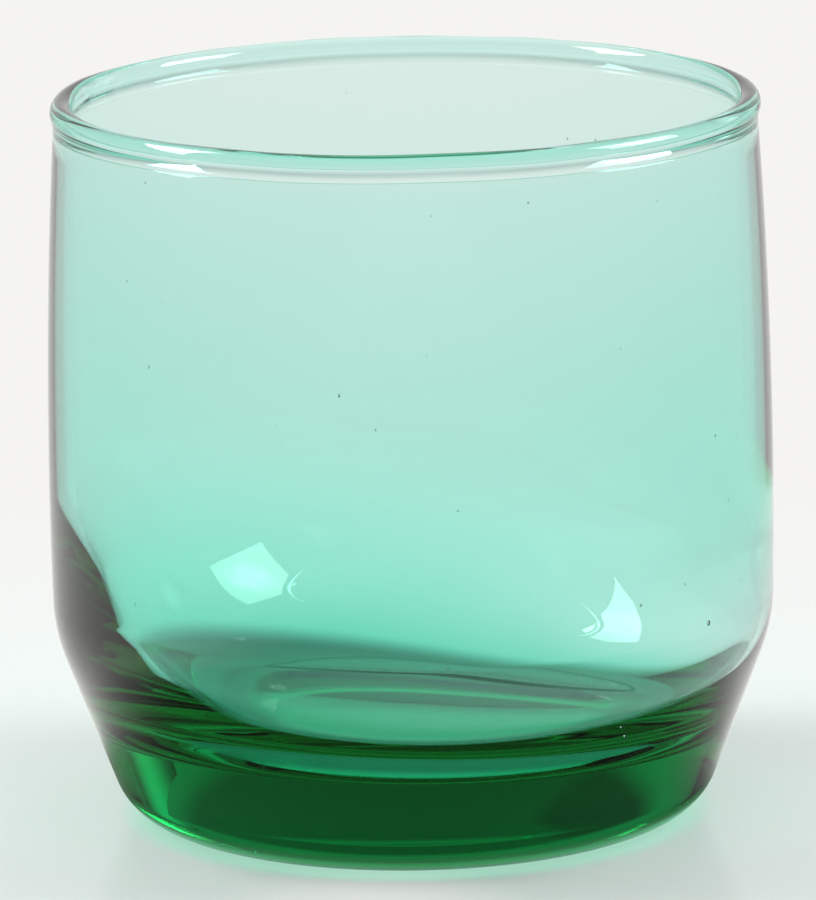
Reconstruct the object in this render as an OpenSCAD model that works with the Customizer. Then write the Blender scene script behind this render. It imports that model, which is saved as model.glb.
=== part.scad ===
// Rocks glass: a low green tumbler with a beaded rim, a barrel-shaped wall and a thick solid base.
// Millimetres, +Z up. The origin is the middle of the foot, on the surface that the glass stands on.
// One piece of glass in four zones that meet face to face on level planes.

/* [Outside] */
// Height from the table to the top of the rim
glass_h = 82.5; // [76:0.5:96]
// Diameter at the widest place of the wall
belly_d = 82; // [78:0.5:88]
// Height of the widest place of the wall
belly_z = 36; // [30:0.5:44]
// Radius of the barrel curve of the wall, seen from the side
barrel_r = 650; // [400:10:1200]
// Radius of the turn from the wall into the tapered foot, seen from the side
heel_turn_r = 19.5; // [12:0.5:24]

/* [Foot] */
// Height of the corner where the tapered foot would meet the wall, before the turn rounds it
taper_h = 22; // [18:0.5:26]
// Angle between the tapered foot and the upright
foot_taper = 20.7; // [16:0.1:24]
// Radius of the rounded lower edge of the foot
foot_edge_r = 7; // [3:0.5:9]
// Width of the flat ring that the glass stands on
foot_ring_w = 5; // [3:0.5:10]
// Depth of the hollow under the foot at its middle
push_up_depth = 1.2; // [0.5:0.1:2.5]

/* [Inside] */
// Thickness of the solid base at the middle of the drinking floor, counted from the table
floor_z = 12; // [9:0.2:14]
// Radius of the round corner between the drinking floor and the wall
floor_corner_r = 15; // [10:0.5:17]
// Least thickness of the wall at the heel, squarely out to the tapered foot
heel_wall_t = 3.6; // [2.6:0.1:4.4]
// Thickness of the wall just under the rim
top_wall_t = 1.3; // [1:0.1:2.2]
// Radius of the barrel curve of the bore, seen from the side
bore_r = 640; // [400:10:1000]

/* [Rim] */
// Radius of the round bead around the mouth
bead_r = 1.3; // [1:0.05:1.6]
// How far the bead stands out from the wall below it
bead_stand = 0.3; // [0.1:0.05:0.6]
// Height of the plain neck between the bead and the side wall
neck_h = 0.9; // [0.4:0.1:2]

/* [Hidden] */

rim_tint = [0.75, 0.91, 0.84];
wall_tint = [0.62, 0.89, 0.81];
heel_tint = [0.32, 0.66, 0.53];
base_tint = [0.05, 0.42, 0.27];

$fn = 180;
// Steps along each of the shallow curves, which are short stretches of very wide circles
curve_steps = 24;

// Profiles are drawn in a half section: x is the distance from the axis, y is the height.
// The taper rises along taper_up, and taper_out points squarely out of it.
taper_up = [sin(foot_taper), cos(foot_taper)];
taper_out = [cos(foot_taper), -sin(foot_taper)];
straight_down = [0, -1];

// Outside, from the wall down: barrel, taper, rounded edge, flat foot.
barrel_centre = [belly_d / 2 - barrel_r, belly_z];
taper_top = [circle_x(barrel_centre, barrel_r, taper_h), taper_h];
taper_offset = taper_top * taper_out;
foot_r = taper_x(taper_offset - foot_edge_r, foot_edge_r);
edge_centre = [foot_r, foot_edge_r];
taper_foot = edge_centre + foot_edge_r * taper_out;
// The turn of the heel touches the taper and, from inside, the barrel.
turn_start = taper_foot - heel_turn_r * taper_out;
turn_reach = along_to_circle(turn_start, taper_up, barrel_centre, barrel_r - heel_turn_r);
turn_centre = turn_start + turn_reach * taper_up;
turn_out = unit(turn_centre - barrel_centre);
turn_low = turn_centre + heel_turn_r * taper_out;
turn_high = turn_centre + heel_turn_r * turn_out;

// Rim: the bead sits on the top of the wall.
bead_z = glass_h - bead_r;
neck_z = bead_z - bead_r - neck_h;
wall_top_r = circle_x(barrel_centre, barrel_r, neck_z);
bead_centre = [wall_top_r + bead_stand - bead_r, bead_z];

// Inside, from the floor up: flat floor, round corner, bore.
// The corner touches the floor and, from inside, the bore.
corner_z = floor_z + floor_corner_r;
floor_r = taper_x(taper_offset - heel_wall_t - floor_corner_r, corner_z);
corner_centre = [floor_r, corner_z];
bore_top = [wall_top_r - top_wall_t, neck_z];
bore_centre = circles_meet(corner_centre, bore_r - floor_corner_r, bore_top, bore_r);
bore_out = unit(corner_centre - bore_centre);
bore_low = corner_centre + floor_corner_r * bore_out;

// Hollow under the foot: a shallow dome inside the ring that the glass stands on.
dome_r = foot_r - foot_ring_w;
dome_sphere_r = (dome_r * dome_r + push_up_depth * push_up_depth) / (2 * push_up_depth);

// Level planes where the zones meet: half way round the floor corner, above the heel, and at the neck.
heel_z = floor_z + floor_corner_r * (1 - cos(45));
wall_z = turn_high.y;

// Unit vector along v
function unit(v) = v / norm(v);

// Distance from point p along direction d to the far side of a circle
function along_to_circle(p, d, centre, r) =
    let (w = p - centre, half = w * d)
    sqrt(half * half - w * w + r * r) - half;

// Distance from the axis, at height z, to the line along the taper that lies a given offset out
function taper_x(offset, z) = (offset + z * sin(foot_taper)) / cos(foot_taper);

// Distance from the axis to the right-hand side of a circle at height z
function circle_x(centre, r, z) = centre.x + sqrt(r * r - pow(z - centre.y, 2));

// Left-hand one of the two points where two circles cross, looking from centre a to centre b
function circles_meet(a, ra, b, rb) =
    let (
        d = norm(b - a),
        along = (d * d + ra * ra - rb * rb) / (2 * d),
        side = sqrt(ra * ra - along * along),
        u = unit(b - a)
    )
    a + along * u + side * [-u.y, u.x];

// Points on the right-hand side of a very wide circle, from one height up to another
function wide_curve(centre, r, low, high) = [
    for (i = [0:curve_steps])
        let (z = low + (high - low) * i / curve_steps)
        [circle_x(centre, r, z), z]
];

// Slice of a circle between two directions
module slice(centre, r, from, to) {
    reach = 2 * r;
    intersection() {
        translate(centre) circle(r);
        polygon([centre, centre + reach * from, centre + reach * (from + to), centre + reach * to]);
    }
}

// Level band of the half section between two heights
module band(low, high) {
    translate([0, low]) square([belly_d, high - low]);
}

// Part of a barrel between two heights, from the axis out to its wide curve
module barrel(centre, r, low, high) {
    polygon(concat([[0, low]], wide_curve(centre, r, low, high), [[0, high]]));
}

// Half section of the glass as if it were solid, up to the middle of the bead
module outside() {
    polygon([[0, 0], [foot_r, 0], taper_foot, turn_low, turn_high, [0, wall_z]]);
    slice(edge_centre, foot_edge_r, straight_down, taper_out);
    slice(turn_centre, heel_turn_r, taper_out, turn_out);
    barrel(barrel_centre, barrel_r, wall_z, bead_z);
}

// Half section of the space for the drink, up to the middle of the bead
module drink_space() {
    polygon([[0, floor_z], [floor_r, floor_z], bore_low, [0, bore_low.y]]);
    slice(corner_centre, floor_corner_r, straight_down, bore_out);
    barrel(bore_centre, bore_r, bore_low.y, bead_z);
}

// Half section of the hollow under the foot
module push_up() {
    intersection() {
        translate([0, push_up_depth - dome_sphere_r]) circle(dome_sphere_r);
        band(0, push_up_depth);
    }
}

// Half section of the glass between two heights, without the bead
module zone(low, high) {
    difference() {
        intersection() {
            outside();
            band(low, high);
        }
        drink_space();
    }
}

// Rounded bead around the mouth, with the neck that it stands on
module rim_bead() {
    color(rim_tint) rotate_extrude() {
        zone(neck_z, bead_z);
        translate(bead_centre) circle(bead_r);
    }
}

// Barrel-shaped wall, thinner towards the top
module side_wall() {
    color(wall_tint) rotate_extrude() zone(wall_z, neck_z);
}

// Turn from the wall into the tapered foot, with the upper half of the inner corner
module heel() {
    color(heel_tint) rotate_extrude() zone(heel_z, wall_z);
}

// Thick solid base with the drinking floor on top and the hollow below
module sham_base() {
    color(base_tint) rotate_extrude() difference() {
        zone(0, heel_z);
        push_up();
    }
}

rim_bead();
side_wall();
heel();
sham_base();
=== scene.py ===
# %% [markdown]
# # A green rocks glass
# A rocks glass is a low tumbler for a drink over ice. This one is pressed and blown in one piece of green
# glass: a beaded rim, a wall that swells like a barrel, a turned-in heel and a thick, solid base. In this
# lesson the measured model gives the size, Blender's edit mode gives the skin of the glass, and a single
# material, which is clear at the surface and green all the way through, gives the colour.

# %% Load the measured glass
import math
import random
import bpy
from mathutils import Matrix, Vector


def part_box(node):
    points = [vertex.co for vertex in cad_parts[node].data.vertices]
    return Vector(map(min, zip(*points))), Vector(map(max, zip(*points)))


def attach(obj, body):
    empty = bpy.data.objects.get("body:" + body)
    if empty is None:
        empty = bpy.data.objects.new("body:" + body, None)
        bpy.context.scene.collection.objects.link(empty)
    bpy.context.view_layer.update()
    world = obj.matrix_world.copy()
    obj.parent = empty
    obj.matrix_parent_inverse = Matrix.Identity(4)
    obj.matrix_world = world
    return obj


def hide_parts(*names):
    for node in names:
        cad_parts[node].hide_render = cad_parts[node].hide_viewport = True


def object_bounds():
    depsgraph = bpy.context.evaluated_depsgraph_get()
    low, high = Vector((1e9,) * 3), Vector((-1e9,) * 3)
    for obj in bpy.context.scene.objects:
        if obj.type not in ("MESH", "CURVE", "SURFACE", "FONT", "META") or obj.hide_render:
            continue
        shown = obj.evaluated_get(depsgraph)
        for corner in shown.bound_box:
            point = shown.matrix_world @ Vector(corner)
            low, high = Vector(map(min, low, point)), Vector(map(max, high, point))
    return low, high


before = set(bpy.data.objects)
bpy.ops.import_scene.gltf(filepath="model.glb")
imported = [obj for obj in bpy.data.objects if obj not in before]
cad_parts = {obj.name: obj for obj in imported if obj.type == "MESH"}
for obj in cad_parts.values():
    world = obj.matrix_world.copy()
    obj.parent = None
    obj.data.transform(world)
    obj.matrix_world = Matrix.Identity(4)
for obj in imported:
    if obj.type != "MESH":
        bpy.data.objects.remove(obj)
cad_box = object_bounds()
print("measured box:", [tuple(round(v, 5) for v in corner) for corner in cad_box])

# %% [markdown]
# ## Sizes
# Every measure here is in metres. The heights and the widest radii come from the measured model, so the skin
# that we model can't drift away from it. The radii of the curves are the maker's own numbers.

# %% Sizes of the glass
MM = 0.001
rim_low, rim_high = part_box("rim_bead")
glass_h = rim_high.z
neck_z = rim_low.z
rim_r = min(rim_high.x, rim_high.y)
belly_r = min(cad_box[1].x, cad_box[1].y)

barrel_r = 650 * MM
belly_z = 36 * MM
heel_turn_r = 19.5 * MM
taper_h = 22 * MM
foot_taper = math.radians(20.7)
foot_edge_r = 7 * MM
foot_ring_w = 5 * MM
push_up_depth = 1.2 * MM
floor_z = 12 * MM
floor_corner_r = 15 * MM
heel_wall_t = 3.6 * MM
top_wall_t = 1.3 * MM
bore_r = 640 * MM
bead_r = 1.3 * MM
print(f"glass {glass_h / MM:.1f} mm high, {2 * belly_r / MM:.1f} mm wide")

# %% [markdown]
# ## Camera
# The picture is taken from a little above the rim with a long lens, so the sides hardly converge. The camera
# stands 0.9 m from the axis, looks down by about twelve degrees, and is turned by one degree about its own
# line of sight, because the rim hangs a little to one side in the picture.

# %% Place the camera
PICTURE_H = 900
FOCAL_PIXELS = 7951
SENSOR_MM = 36
camera_reach = 900 * MM
camera_pitch = math.radians(12.44)
camera_roll = math.radians(-0.955)
look_at = Vector((-0.32 * MM, 0, 41.43 * MM))
sight_limit = 60

away = Vector((0, -math.cos(camera_pitch), math.sin(camera_pitch)))
turn = Matrix.Rotation(math.pi / 2 - camera_pitch, 3, "X") @ Matrix.Rotation(camera_roll, 3, "Z")
bpy.ops.object.select_all(action="DESELECT")
bpy.ops.object.camera_add(location=look_at + camera_reach * away, rotation=turn.to_euler())
camera = bpy.context.object
camera.name = "camera"
camera.data.sensor_width = SENSOR_MM
camera.data.lens = FOCAL_PIXELS * SENSOR_MM / PICTURE_H
camera.data.clip_end = sight_limit
bpy.context.scene.camera = camera
print(f"lens {camera.data.lens:.0f} mm")

# %% [markdown]
# ## Node helpers
# Materials and the sky are small networks of nodes. A few helpers keep the cells short. The first adds a node
# and fills in its sockets. The others build on it: a step of arithmetic, a number that eases from one level
# to another, the distance to a fixed point, a plain glow, and a mix of two surfaces.

# %% Helpers for node networks
def add_node(tree, kind, inputs=None, **settings):
    """Add a node, set its properties, and fill its sockets with numbers or links."""
    node = tree.nodes.new(kind)
    for name, value in settings.items():
        setattr(node, name, value)
    for name, value in (inputs or {}).items():
        if isinstance(value, bpy.types.NodeSocket):
            tree.links.new(value, node.inputs[name])
        else:
            node.inputs[name].default_value = value
    return node


def arithmetic(tree, operation, first, second):
    """One step of arithmetic between two sockets or numbers."""
    return add_node(tree, "ShaderNodeMath", {0: first, 1: second}, operation=operation).outputs[0]


def ease(tree, value, span, levels):
    """A number that eases from one level to another while the value crosses a span."""
    sockets = "Value", "From Min", "From Max", "To Min", "To Max"
    inputs = dict(zip(sockets, (value, *span, *levels)))
    return add_node(tree, "ShaderNodeMapRange", inputs, interpolation_type="SMOOTHSTEP").outputs[0]


def distance_to(tree, place, point):
    """Distance from a place on the surface to a fixed point."""
    inputs = {0: place, 1: point}
    return add_node(tree, "ShaderNodeVectorMath", inputs, operation="DISTANCE").outputs["Value"]


def glow_of(tree, color, strength=1.0):
    """A surface that glows by itself."""
    return add_node(tree, "ShaderNodeEmission", {"Color": color, "Strength": strength}).outputs[0]


def mix(tree, share, first, second):
    """A surface that goes from the first one to the second as the share goes from 0 to 1."""
    return add_node(tree, "ShaderNodeMixShader", {0: share, 1: first, 2: second}).outputs[0]


# %% [markdown]
# Each thing on the stage has a material of its own. It starts empty and reads its Object coordinates, which
# are distances in metres from the middle of the thing.

# %% Helpers for the stage
MIDDLE = (0, 0, 0)


def empty_material(name):
    """A new material without nodes, its network, and the place on the surface."""
    material = bpy.data.materials.new(name)
    material.use_nodes = True
    tree = material.node_tree
    tree.nodes.clear()
    return material, tree, add_node(tree, "ShaderNodeTexCoord").outputs["Object"]


def add_face(name, corners, middle):
    """A flat face with the given corners, which are counted from its middle."""
    bpy.ops.object.select_all(action="DESELECT")
    bpy.ops.mesh.primitive_circle_add(vertices=len(corners), fill_type="NGON", location=middle)
    face = bpy.context.object
    face.name = name
    for vertex, corner in zip(face.data.vertices, corners):
        vertex.co = corner
    return face


# %% [markdown]
# ## Light
# Glass shows what is around it, so it is lit by its surroundings and not by a spot. A low white sweep runs
# round the table, and the room is dimmer overhead.

# %% Make the sky
SWEEP_WHITE = (0.913, 0.905, 0.888, 1)
sky_span = 0.0, 0.8
sky_levels = 1.0, 0.42

sky = bpy.data.worlds.new("white_sweep")
sky.use_nodes = True
bpy.context.scene.world = sky
tree = sky.node_tree
tree.nodes.clear()
direction = add_node(tree, "ShaderNodeTexCoord").outputs["Generated"]
height = add_node(tree, "ShaderNodeSeparateXYZ", {0: direction}).outputs["Z"]
brightness = ease(tree, height, sky_span, sky_levels)
backdrop = add_node(tree, "ShaderNodeBackground", {"Color": SWEEP_WHITE, "Strength": brightness})
add_node(tree, "ShaderNodeOutputWorld", {"Surface": backdrop.outputs[0]})
print("sky level, low and high:", sky_levels)

# %% [markdown]
# Two softboxes stand left and right: the bowl mirrors them as bright squares. A small white card, behind on
# the right, puts the bright green glint into the left of the base. Light that bounces about in the thick base
# many times would show each softbox again as a row of hard sparks. On a real, worn glass these fade away, so
# the cards fade for light that has bounced more than five times.

# %% Make the softboxes
CARD_WHITE = (1, 1, 1, 1)
light_reach = 0.7
fade_span = 0.0, 0.14
bounce_span = 5.2, 5.8
late_glow = 0.4


def toward(bearing, height):
    """Direction from the glass at a compass bearing from straight behind it, and a height above level."""
    bearing, height = math.radians(bearing), math.radians(height)
    level = math.cos(height)
    return Vector((math.sin(bearing) * level, math.cos(bearing) * level, math.sin(height)))


def add_light_card(name, bearings, middle_glow, edge_glow):
    """A glowing card with the given corners, brighter in its middle, for light of few bounces."""
    corners = [light_reach * toward(bearing, height) for bearing, height in bearings]
    middle = sum(corners, Vector()) / len(corners)
    card = add_face(name, [corner - middle for corner in corners], middle)
    cloth, tree, place = empty_material(name)
    glow = ease(tree, distance_to(tree, place, MIDDLE), fade_span, (middle_glow, edge_glow))
    bounces = add_node(tree, "ShaderNodeLightPath").outputs["Ray Depth"]
    glow = ease(tree, bounces, bounce_span, (glow, late_glow))
    add_node(tree, "ShaderNodeOutputMaterial", {"Surface": glow_of(tree, CARD_WHITE, glow)})
    card.data.materials.append(cloth)
    card.visible_camera = False
    return card


right_bearings = [(109, 30), (79, 29), (59, 48), (102, 55)]
left_bearings = [(-105, 24), (-94, 30), (-58, 47), (-58, 55), (-84, 61)]
back_bearings = [(36, 14), (58, 16), (58, 27), (36, 24)]
cards = [add_light_card("softbox_right", right_bearings, middle_glow=16, edge_glow=7)]
cards += [add_light_card("softbox_left", left_bearings, middle_glow=24, edge_glow=10)]
cards += [add_light_card("white_card", back_bearings, middle_glow=1.9, edge_glow=0.2)]
print("light cards:", len(cards))

# %% [markdown]
# Below the level of the heel a photographer often holds a dark flag behind a glass, so that a thick base
# keeps its depth. This one lies level, close behind the glass, and is painted shade: a sheet that glows a dim
# white and blocks no light. Only light that has gone through the glass and comes from below sees it: to
# everything else, and from above, it is clear. Its painted shade is darkest on the left, and its near edge is
# pale.

# %% Make the flag behind the base
flag_z = 21 * MM
flag_half_w = 200 * MM
flag_near = 64 * MM
flag_far = 300 * MM
flag_edge = flag_near, 82 * MM
left_slant = -0.2, -0.15
# levels of the painted shade that the flag shows
left_level, right_level, edge_level = 0.2, 0.32, 0.8

flag_corners = [(-flag_half_w, flag_near), (flag_half_w, flag_near)]
flag_corners += [(flag_half_w, flag_far), (-flag_half_w, flag_far)]
flag = add_face("flag", [(x, y, flag_z) for x, y in flag_corners], MIDDLE)
flag_painted_shade, tree, place = empty_material("flag_painted_shade")
axis = add_node(tree, "ShaderNodeSeparateXYZ", {0: place}).outputs
slant = arithmetic(tree, "DIVIDE", axis["X"], axis["Y"])
dim = ease(tree, slant, left_slant, (left_level, right_level))
dim = ease(tree, axis["Y"], flag_edge, (edge_level, dim))
clear = add_node(tree, "ShaderNodeBsdfTransparent").outputs[0]
from_below = add_node(tree, "ShaderNodeNewGeometry").outputs["Backfacing"]
ray = add_node(tree, "ShaderNodeLightPath").outputs
seen = arithmetic(tree, "MULTIPLY", from_below, ray["Is Transmission Ray"])
# the flag glows a dim white, which paints shade into the glass
cloth = mix(tree, seen, clear, glow_of(tree, SWEEP_WHITE, dim))
add_node(tree, "ShaderNodeOutputMaterial", {"Surface": cloth})
flag.data.materials.append(flag_painted_shade)
flag.visible_camera = False
print("flag normal:", tuple(flag.data.polygons[0].normal))

# %% [markdown]
# ## Table
# The glass stands on a plain pale table with a faint polish. Close to the glass the table is an ordinary matt
# surface, so it takes the shadow and the green light that comes through the base. Further off it melts into
# the white sweep, and in front of the foot lies a painted sheen: there the table glows white for the camera,
# which lightens its shadow. Where the numbers come as a span and two shares, the share eases from the first
# to the second while the distance crosses the span.

# %% Make the table
table_r = 8.0
table_inner_r = 0.5
table_gap = 0.02 * MM
bpy.ops.object.select_all(action="DESELECT")
bpy.ops.mesh.primitive_circle_add(vertices=128, radius=table_r, fill_type="NGON", location=(0, 0, -table_gap))
table = bpy.context.object
table.name = "table"
bpy.ops.object.mode_set(mode="EDIT")
bpy.ops.mesh.select_all(action="SELECT")
bpy.ops.mesh.inset(thickness=table_r - table_inner_r)
bpy.ops.object.mode_set(mode="OBJECT")

MATT_PAINT = (0.74, 0.82, 0.8, 1)
melt_span, melt_shares = (0.04, 0.17), (0.2, 1.0)
# painted sheen: a patch of white glow in front of the foot, seen by the camera
painted_sheen_middle = (-0.005, -0.042, 0)
painted_sheen_span, painted_sheen_shares = (0.002, 0.026), (0.7, 0.0)
polish_roughness = 0.15
polish_span, polish_shares = (0.06, 0.16), (0.14, 0.0)

table_paint, tree, place = empty_material("pale_table")
from_foot = distance_to(tree, place, MIDDLE)
ray = add_node(tree, "ShaderNodeLightPath").outputs
matt = add_node(tree, "ShaderNodeBsdfDiffuse", {"Color": MATT_PAINT}).outputs[0]
far_off = ease(tree, from_foot, melt_span, melt_shares)
# painted sheen: more white glow in front of the foot
painted_sheen = ease(tree, distance_to(tree, place, painted_sheen_middle), painted_sheen_span, painted_sheen_shares)
far_off = arithmetic(tree, "MAXIMUM", far_off, painted_sheen)
far_off = arithmetic(tree, "MULTIPLY", far_off, ray["Is Camera Ray"])
bare = mix(tree, far_off, matt, glow_of(tree, SWEEP_WHITE))
polish = add_node(tree, "ShaderNodeBsdfGlossy", {"Roughness": polish_roughness}).outputs[0]
polish_share = ease(tree, from_foot, polish_span, polish_shares)
polish_share = arithmetic(tree, "MULTIPLY", polish_share, ray["Is Camera Ray"])
bare = mix(tree, polish_share, bare, polish)
print("table radius:", table_r, "m")

# %% [markdown]
# What the glass itself shows of the table, bent or mirrored, is written as a plain brightness, so its light
# and shade are painted. Where the foot touches it is a painted shadow, lit by painted green light. It is white
# behind, dimmer off to the sides, and in painted shade in front of the foot.

# %% Write what the glass shows of the table
# painted green light under the foot, as the glass shows it
PAINTED_FOOT_LIGHT = (0.55, 0.92, 0.66, 1)
under_span, under_levels = (0.018, 0.025), (0.65, 0.3)
shade_middle, shade_span, beside_level = (-0.005, 0, 0), (0.036, 0.047), 1.1
behind_span, behind_level = (0.055, 0.2), 0.95
aside_span, aside_level = (0.16, 0.4), 0.8
front_middle, front_span, front_level = (0, -0.09, 0), (0.078, 0.13), 0.12
green_span = 0.03, 0.042

# painted shadow under and beside the foot, as the glass shows it
under_foot = ease(tree, from_foot, under_span, under_levels)
beside_foot = ease(tree, distance_to(tree, place, shade_middle), shade_span, (under_foot, beside_level))
behind = ease(tree, from_foot, behind_span, (beside_foot, behind_level))
sideways = add_node(tree, "ShaderNodeSeparateXYZ", {0: place}).outputs["X"]
aside = arithmetic(tree, "ABSOLUTE", sideways, 0)
bent = ease(tree, aside, aside_span, (behind, aside_level))
# painted shade in front of the foot, for mirrored light
mirrored = ease(tree, distance_to(tree, place, front_middle), front_span, (front_level, bent))
mirror_only = arithmetic(tree, "SUBTRACT", ray["Is Glossy Ray"], ray["Is Transmission Ray"])
level = ease(tree, mirror_only, (0.0, 1.0), (bent, mirrored))
below = ease(tree, from_foot, green_span, (1.0, 0.0))
shown = mix(tree, below, glow_of(tree, SWEEP_WHITE, level), glow_of(tree, PAINTED_FOOT_LIGHT, level))
in_glass = arithmetic(tree, "MAXIMUM", ray["Is Glossy Ray"], ray["Is Transmission Ray"])
look = mix(tree, in_glass, bare, shown)
print("levels under the foot:", under_levels, "and behind:", behind_level)

# %% [markdown]
# The edge of the foot also throws a narrow ring of green light on the table, which is painted as a glow.
# Light that has come through the glass doesn't see it.

# %% Add the ring of green light
# painted light: a green glow in a ring round the foot
PAINTED_RING_LIGHT = (0.42, 0.8, 0.62, 1)
ring_span, ring_shares = (0.031, 0.0345), (0.7, 0.0)
not_bent = arithmetic(tree, "SUBTRACT", 1.0, ray["Is Transmission Ray"])
ring = ease(tree, from_foot, ring_span, ring_shares)
ring = arithmetic(tree, "MULTIPLY", ring, not_bent)
look = mix(tree, ring, look, glow_of(tree, PAINTED_RING_LIGHT))
add_node(tree, "ShaderNodeOutputMaterial", {"Surface": look})
table.data.materials.append(table_paint)
print("green ring ends", ring_span[1], "m from the axis")

# %% [markdown]
# ## Half section
# A glass is round, so a drawing of one half of its section holds the whole shape. The drawing is a chain of
# arcs and short straight lines. Each arc touches its neighbours without a corner, as a mould is turned on a
# lathe, so the light runs over the skin without a kink. Here we work out the centres of those arcs.

# %% Work out the arcs
def unit(angle):
    """Unit step in the half section, at an angle from straight out."""
    return Vector((math.cos(angle), math.sin(angle)))


def angle_of(step):
    """Angle of a step in the half section, from straight out."""
    return math.atan2(step.y, step.x)


def circle_out(centre, radius, z):
    """The outer point of a circle at a given height."""
    return Vector((centre.x + math.sqrt(radius ** 2 - (z - centre.y) ** 2), z))


taper_out = unit(-foot_taper)
taper_up = Vector((-taper_out.y, taper_out.x))


def along_taper(offset, z):
    """The point at height z on the line along the taper that lies a given offset out."""
    return Vector(((offset + z * math.sin(foot_taper)) / math.cos(foot_taper), z))


barrel_centre = Vector((belly_r - barrel_r, belly_z))
taper_offset = circle_out(barrel_centre, barrel_r, taper_h).dot(taper_out)
edge_centre = along_taper(taper_offset - foot_edge_r, foot_edge_r)

turn_start = edge_centre + (foot_edge_r - heel_turn_r) * taper_out
to_start = turn_start - barrel_centre
half = to_start.dot(taper_up)
turn_reach = math.sqrt(half ** 2 - to_start.length_squared + (barrel_r - heel_turn_r) ** 2) - half
turn_centre = turn_start + turn_reach * taper_up
turn_top = angle_of(turn_centre - barrel_centre)

bead_centre = Vector((rim_r - bead_r, glass_h - bead_r))
corner_centre = along_taper(taper_offset - heel_wall_t - floor_corner_r, floor_z + floor_corner_r)
bore_top = circle_out(barrel_centre, barrel_r, neck_z) - Vector((top_wall_t, 0))
span = bore_top - corner_centre
inner_reach = bore_r - floor_corner_r
ahead_by = (span.length_squared + inner_reach ** 2 - bore_r ** 2) / (2 * span.length)
aside_by = math.sqrt(inner_reach ** 2 - ahead_by ** 2)
ahead = span.normalized()
bore_centre = corner_centre + ahead_by * ahead + aside_by * Vector((-ahead.y, ahead.x))
corner_top = angle_of(corner_centre - bore_centre)
print(f"foot {2 * edge_centre.x / MM:.1f} mm, drinking floor {2 * corner_centre.x / MM:.1f} mm across")

# %% [markdown]
# ## Soft neck
# On the real glass the bead was melted round by a flame, and the flame left no groove below it. So a hollow
# arc joins the bead to the wall on the outside, and another on the inside. Both touch the bead and the wall,
# which is nearly upright there.

# %% Work out the neck
def neck_arc(wall_r, side, radius):
    """Centre of a hollow arc that touches the wall and the bead, and its angle seen from the bead."""
    x = wall_r + side * radius
    drop = math.sqrt((bead_r + radius) ** 2 - (x - bead_centre.x) ** 2)
    centre = Vector((x, bead_centre.y - drop))
    return centre, angle_of(centre - bead_centre)


outer_neck_r = 5 * MM
inner_neck_r = 4 * MM
outer_neck, outer_neck_angle = neck_arc(circle_out(barrel_centre, barrel_r, neck_z).x, 1, outer_neck_r)
inner_neck, inner_neck_angle = neck_arc(bore_top.x, -1, inner_neck_r)
inner_neck_angle += 2 * math.pi
print(f"neck starts {(glass_h - inner_neck.y) / MM:.1f} mm below the rim")

# %% [markdown]
# ## Chain of points
# The half section starts under the middle of the foot, goes out and up the outside, over the bead, down the
# bore and ends at the middle of the drinking floor. The points lie closer together where the skin turns
# quickly.

# %% List the points of the half section
def arc(centre, radius, start, end, steps):
    """Points along an arc, without its first point."""
    return [centre + radius * unit(start + (end - start) * i / steps) for i in range(1, steps + 1)]


def wide_arc(centre, radius, start_z, end_z, steps):
    """Points at even heights along a very wide arc, without its first point."""
    rise = end_z - start_z
    return [circle_out(centre, radius, start_z + rise * i / steps) for i in range(1, steps + 1)]


def line(start, end, steps):
    """Points along a straight line, without its first point."""
    return [start.lerp(end, i / steps) for i in range(1, steps + 1)]


dome_r = edge_centre.x - foot_ring_w
dome_sphere_r = (dome_r ** 2 + push_up_depth ** 2) / (2 * push_up_depth)
dome_centre = Vector((0, push_up_depth - dome_sphere_r))
dome_half = math.asin(dome_r / dome_sphere_r)
bore_low_z = corner_centre.y + floor_corner_r * math.sin(corner_top)
up = math.pi / 2

section = [Vector((0, push_up_depth))]
section += arc(dome_centre, dome_sphere_r, up, up - dome_half, steps=14)
section += line(section[-1], Vector((edge_centre.x, 0)), steps=3)
section += arc(edge_centre, foot_edge_r, -up, -foot_taper, steps=40)
section += line(section[-1], turn_centre + heel_turn_r * taper_out, steps=8)
section += arc(turn_centre, heel_turn_r, -foot_taper, turn_top, steps=28)
section += wide_arc(barrel_centre, barrel_r, section[-1].y, outer_neck.y, steps=44)
section += arc(outer_neck, outer_neck_r, math.pi, outer_neck_angle + math.pi, steps=5)
section += arc(bead_centre, bead_r, outer_neck_angle, inner_neck_angle, steps=36)
section += arc(inner_neck, inner_neck_r, inner_neck_angle - math.pi, 0, steps=8)
section += wide_arc(bore_centre, bore_r, inner_neck.y, bore_low_z, steps=72)
section += arc(corner_centre, floor_corner_r, corner_top, -up, steps=84)
section += line(section[-1], Vector((0, floor_z)), steps=8)
print("points in the half section:", len(section))

# %% [markdown]
# ## Spin the skin
# A half section becomes a body with Edit Mode's Spin. We start from a small plane, merge it to one vertex,
# and extrude that vertex from point to point. Spin then sweeps the chain round the axis. It leaves its first
# and last copies on top of each other, and a ring of vertices at each pole, so doubles are merged before the
# normals are turned to face outwards.

# %% Extrude and spin the half section
spin_steps = 240
merge_reach = 0.004 * MM


def upright(point):
    """A point of the half section, in space."""
    return Vector((point.x, 0, point.y))


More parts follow.
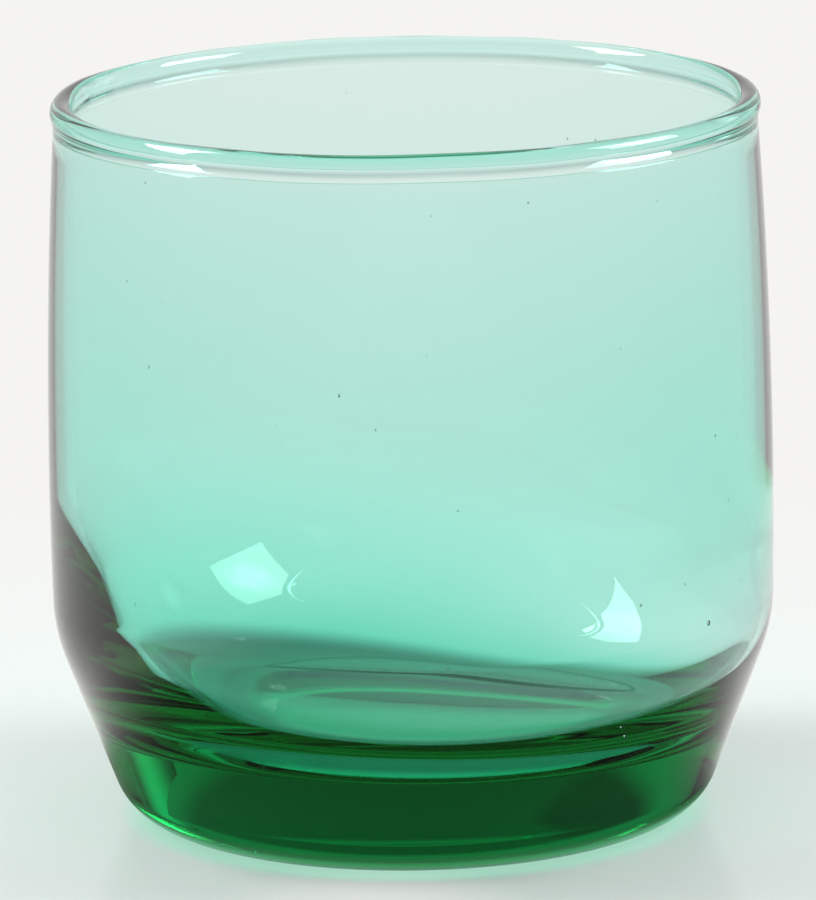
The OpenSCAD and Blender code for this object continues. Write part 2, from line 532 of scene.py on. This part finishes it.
bpy.ops.object.select_all(action="DESELECT")
bpy.ops.mesh.primitive_plane_add(size=MM)
glass = bpy.context.object
glass.name = "glass_body"
bpy.ops.object.mode_set(mode="EDIT")
bpy.ops.mesh.merge(type="CENTER")
bpy.ops.transform.translate(value=upright(section[0]))
for start, end in zip(section, section[1:]):
    bpy.ops.mesh.extrude_region_move(TRANSFORM_OT_translate={"value": upright(end - start)})
bpy.ops.mesh.select_all(action="SELECT")
bpy.ops.mesh.spin(steps=spin_steps, angle=2 * math.pi, center=(0, 0, 0), axis=(0, 0, 1))
bpy.ops.mesh.select_all(action="SELECT")
bpy.ops.mesh.remove_doubles(threshold=merge_reach)
bpy.ops.mesh.normals_make_consistent(inside=False)
bpy.ops.object.mode_set(mode="OBJECT")
bpy.ops.object.shade_smooth()
print("skin:", len(glass.data.vertices), "vertices,", len(glass.data.polygons), "faces")

# %% [markdown]
# ## Pushing the skin
# The skin is even so far, and a few small forms are pushed into it next. Each one is a vertex group, which
# says how far every point takes part, from 0 to 1, and a Displace modifier, which moves the group and is then
# applied. Two more helpers tell which points belong to the bore.

# %% Helpers for the small forms
floor_slack = 0.1 * MM


def smooth_step(value):
    """Ease from 0 to 1."""
    t = min(1.0, max(0.0, value))
    return t * t * (3 - 2 * t)


def outer_radius(z):
    """Radius of the outside between the foot and the neck."""
    if z > turn_centre.y + heel_turn_r * math.sin(turn_top):
        return circle_out(barrel_centre, barrel_r, z).x
    if z > turn_centre.y - heel_turn_r * math.sin(foot_taper):
        return circle_out(turn_centre, heel_turn_r, z).x
    return along_taper(taper_offset, z).x


def in_bore(point):
    """True for a point of the bore or the drinking floor, below the neck."""
    if not floor_z - floor_slack < point.z < neck_z:
        return False
    return math.hypot(point.x, point.y) < outer_radius(point.z) - top_wall_t / 2


def displace(piece, name, group, strength, direction, texture=None, middle=0.0):
    """Push a named vertex group with a Displace modifier, and apply it."""
    modifier = piece.modifiers.new(name, "DISPLACE")
    modifier.vertex_group = group
    modifier.strength = strength
    modifier.direction = direction
    modifier.mid_level = middle
    modifier.texture_coords = "LOCAL"
    modifier.texture = texture
    bpy.context.view_layer.objects.active = piece
    bpy.ops.object.modifier_apply(modifier=name)


print("points of the bore:", sum(in_bore(vertex.co) for vertex in glass.data.vertices))

# %% [markdown]
# ## A bore that leans
# No blown tumbler is quite even. In this one the lower part of the bore sits about two millimetres to one
# side and its floor slopes a little, so the heel is thick on the left and thin on the right. Two Displace
# modifiers read a straight gradient and tilt the floor, and two more move the bore sideways. Blender's
# gradient goes from 0 to 1 over two metres, so its middle is 0.5 and its strength is twice the slope.

# %% Lean the bore
bore_shift = 2.1 * MM, -1.0 * MM
floor_slope = math.radians(0.9), math.radians(-1.2)
lean_top = 38 * MM
lean_full = 18 * MM
gradient_length = 2
gradient_middle = 0.5

lean = glass.vertex_groups.new(name="lower_bore")
leaning = []
for vertex in glass.data.vertices:
    if in_bore(vertex.co):
        weight = smooth_step((lean_top - vertex.co.z) / (lean_top - lean_full))
        lean.add([vertex.index], weight, "REPLACE")
        leaning.append(vertex.index)
to_right = bpy.data.textures.new("gradient_across", "BLEND")
to_back = bpy.data.textures.new("gradient_deep", "BLEND")
to_back.use_flip_axis = "VERTICAL"
tilts = [-gradient_length * math.tan(slope) for slope in floor_slope]
displace(glass, "slope_across", "lower_bore", tilts[0], "Z", to_right, gradient_middle)
displace(glass, "slope_deep", "lower_bore", tilts[1], "Z", to_back, gradient_middle)
displace(glass, "shift_across", "lower_bore", bore_shift[0], "X")
displace(glass, "shift_deep", "lower_bore", bore_shift[1], "Y")
lowest = min(glass.data.vertices[index].co.z for index in leaning)
print(f"lowest place of the drinking floor {lowest / MM:.2f} mm")

# %% [markdown]
# ## A flame-polished rim
# The flame that rounds the rim leaves it a little uneven, which shows as wandering lines of light. A cloud
# texture moves the rim by a tenth or two of a millimetre, nearly always down, so the rim keeps its size.

# %% Make the rim uneven
rim_wave = 0.3 * MM
rim_depth = 5 * MM
cloud_size = 12 * MM
cloud_middle = 0.8
rim = glass.vertex_groups.new(name="rim")
for vertex in glass.data.vertices:
    weight = smooth_step((vertex.co.z - (glass_h - rim_depth)) / rim_depth)
    if weight > 0:
        rim.add([vertex.index], weight, "REPLACE")
clouds = bpy.data.textures.new("slow_clouds", "CLOUDS")
clouds.noise_scale = cloud_size
clouds.noise_depth = 1
displace(glass, "flame", "rim", rim_wave, "Z", clouds, cloud_middle)
print(f"rim now {max(v.co.z for v in glass.data.vertices) / MM:.2f} mm high")

# %% [markdown]
# At the far left the inside of the bead has two small dents, left by a tool while the rim was soft. They are
# long ovals, so the distance to each one counts less along the rim than across it.

# %% Press two dents into the bead
dent_depth = 0.22 * MM
dent_length = 2.6 * MM
dent_width = 1.1 * MM
dent_bearings = 151, 165
dent_inset = 0.9 * bead_r
dents = glass.vertex_groups.new(name="dents")
in_dents = 0
for bearing in dent_bearings:
    along = Vector((-math.sin(math.radians(bearing)), math.cos(math.radians(bearing)), 0))
    inward = Vector((-along.y, along.x, 0))
    spot = bead_centre.x * -inward + dent_inset * inward + Vector((0, 0, bead_centre.y))
    for vertex in glass.data.vertices:
        step = vertex.co - spot
        lengthwise = step.dot(along)
        crosswise = (step - lengthwise * along).length
        reach = math.hypot(lengthwise / dent_length, crosswise / dent_width)
        if reach < 1:
            dents.add([vertex.index], smooth_step(1 - reach), "REPLACE")
            in_dents += 1
displace(glass, "press", "dents", -dent_depth, "NORMAL")
print("points in the dents:", in_dents)

# %% [markdown]
# ## Seeds
# Glassmakers call the small bubbles in their glass seeds. A few stand out and have their own places, and
# three were drawn out into threads, which look like hairlines. The rest are scattered through the wall and the
# base with a fixed list of chances, so every run gives the same glass. Here we list where each seed goes, its
# radius in millimetres and how far it is stretched.

# %% List the seeds
chance = random.Random(11)
round_seed = (1, 1, 1)


def in_front(x, z, depth):
    """A place in the front of the glass, a given depth below its skin, all in millimetres."""
    x, z = x * MM, z * MM
    return Vector((x, -math.sqrt((outer_radius(z) - depth * MM) ** 2 - x ** 2), z))


def at_bearing(bearing, z, depth):
    """A place at a bearing round the axis, a given depth below the skin; the lengths in millimetres."""
    out = outer_radius(z * MM) - depth * MM
    return Vector((out * math.cos(bearing), out * math.sin(bearing), z * MM))


spots = [(in_front(32.3, 26.6, 0.7), 0.26, (1, 1, 1.3))]
spots += [(in_front(22.6, 15.4, 1.5), 0.22, (1, 1, 1.2))]
spots += [(in_front(3.6, 25.9, 0.65), 0.13, round_seed)]
spots += [(in_front(-7.6, 56.3, 0.65), 0.14, (1, 1, 1.6))]
spots += [(in_front(-16.4, 14.4, 2.6), 0.035, (1, 1, 55))]
spots += [(in_front(-11.9, 24.2, 1.2), 0.035, (1, 1, 25))]
spots += [(in_front(22.9, 17.5, 0.9), 0.03, (1, 1, 40))]

wall_count, wall_heights, wall_depth = 60, (20, 76), 0.65
wall_sizes, wall_stretch = (0.05, 0.06, 0.08, 0.1, 0.13), (1, 1.8)
base_count, base_heights, base_depths = 70, (3, 14), (1.0, 2.6)
base_sizes = 0.03, 0.04, 0.05, 0.07
full_turn = 2 * math.pi
for i in range(wall_count):
    bearing, z = chance.uniform(0, full_turn), chance.uniform(*wall_heights)
    size, stretch = chance.choice(wall_sizes), chance.uniform(*wall_stretch)
    spots.append((at_bearing(bearing, z, wall_depth), size, (1, 1, stretch)))
for i in range(base_count):
    bearing, z = chance.uniform(0, full_turn), chance.uniform(*base_heights)
    depth, size = chance.uniform(*base_depths), chance.choice(base_sizes)
    spots.append((at_bearing(bearing, z, depth), size, round_seed))
print("seeds listed:", len(spots))

# %% [markdown]
# A seed is a hollow, so its skin faces inwards, away from the glass around it. Each one is a small round ball
# that is drawn out in edit mode, turned inside out, and then joined to the glass.

# %% Make the seeds and join them
seeds = []
for place, size, stretch in spots:
    bpy.ops.object.select_all(action="DESELECT")
    bpy.ops.mesh.primitive_ico_sphere_add(subdivisions=2, radius=size * MM, location=place)
    bpy.ops.object.mode_set(mode="EDIT")
    bpy.ops.mesh.select_all(action="SELECT")
    bpy.ops.transform.resize(value=stretch)
    bpy.ops.mesh.flip_normals()
    bpy.ops.object.mode_set(mode="OBJECT")
    bpy.ops.object.shade_smooth()
    seeds.append(bpy.context.object)
bpy.ops.object.select_all(action="DESELECT")
for piece in seeds + [glass]:
    piece.select_set(True)
bpy.context.view_layer.objects.active = glass
bpy.ops.object.join()
print("seeds:", len(seeds), "faces now:", len(glass.data.polygons))

# %% [markdown]
# ## Green glass
# Green glass is clear at its skin. Its colour is the light that it takes away on the way through, so a thin
# wall is pale and a thick base is nearly black-green. The Principled shader with full transmission makes the
# skin, and a Volume Absorption node fills the inside. Red is taken away about seven times faster than green.

# %% Make the glass material
GLASS_INDEX = 1.52
take_red, take_green, take_blue = 150, 22, 47
green_glass = bpy.data.materials.new("green_glass")
green_glass.use_nodes = True
tree = green_glass.node_tree
skin = tree.nodes["Principled BSDF"]
skin.inputs["Base Color"].default_value = (1, 1, 1, 1)
skin.inputs["Transmission Weight"].default_value = 1
skin.inputs["IOR"].default_value = GLASS_INDEX
skin.inputs["Roughness"].default_value = 0.0
passes = (0, 1 - take_green / take_red, 1 - take_blue / take_red, 1)
inside = add_node(tree, "ShaderNodeVolumeAbsorption", {"Color": passes, "Density": take_red})
tree.links.new(inside.outputs[0], tree.nodes["Material Output"].inputs["Volume"])
glass.data.materials.append(green_glass)
print("light lost per millimetre:", [round(t * MM, 3) for t in (take_red, take_green, take_blue)])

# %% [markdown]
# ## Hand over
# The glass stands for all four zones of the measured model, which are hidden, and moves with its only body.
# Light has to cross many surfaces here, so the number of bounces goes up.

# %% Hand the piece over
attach(glass, "root")
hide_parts("rim_bead", "side_wall", "heel", "sham_base")

most_bounces = 32
most_mirrorings = 16
scene = bpy.context.scene
scene.view_settings.view_transform = "Standard"
scene.cycles.max_bounces = most_bounces
scene.cycles.transmission_bounces = most_bounces
scene.cycles.glossy_bounces = most_mirrorings
scene.cycles.use_denoising = True
